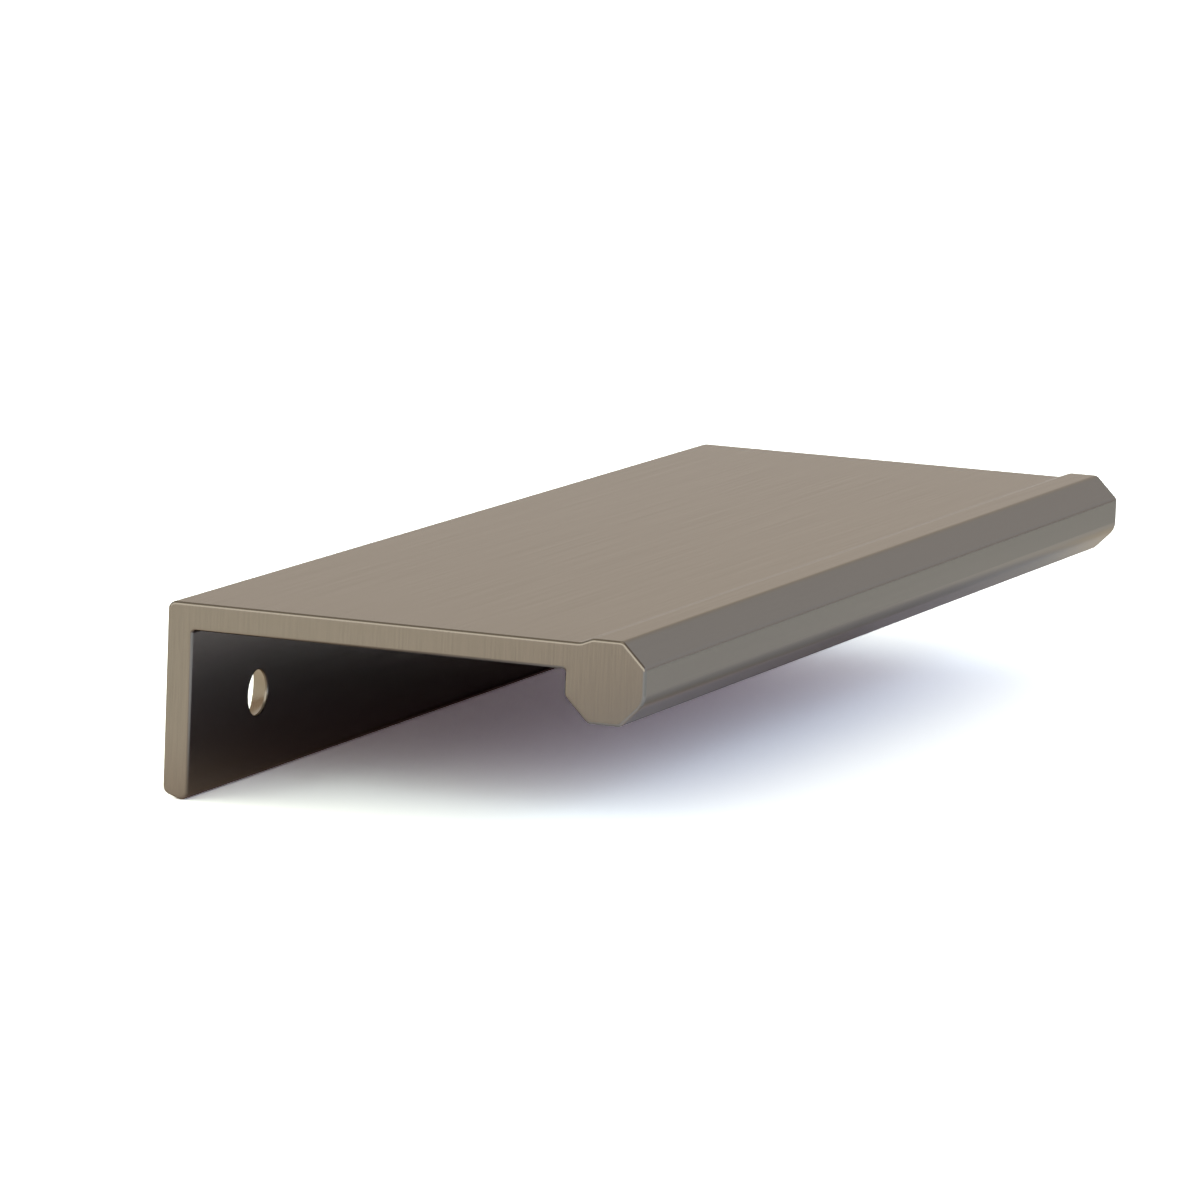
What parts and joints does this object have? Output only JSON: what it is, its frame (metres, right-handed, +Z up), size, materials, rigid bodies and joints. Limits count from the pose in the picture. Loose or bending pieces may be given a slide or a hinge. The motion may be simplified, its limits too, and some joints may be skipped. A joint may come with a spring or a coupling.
{
  "type": "tab pull",
  "caption": "Solid metal tab pull for a drawer's top edge: a flat plate with a screw flange behind it and an octagonal finger bar along its front.",
  "frame": {"origin": "midway between the two screw holes, on the flange's mounting face, which is its inner face", "axes": "+X along the pull, -Y towards the room and the finger bar and out of the mounting face, +Z up; the plate's top is at z = +10.8 mm"},
  "size_m": [0.138, 0.0491, 0.0196],
  "materials": {
    "satin_metal": "satin plated and brushed, warm grey-brown, with the brushing across the sawn ends"
  },
  "bodies": {
    "root": {"tab_pull": "satin_metal"}
  },
  "joints": []
}
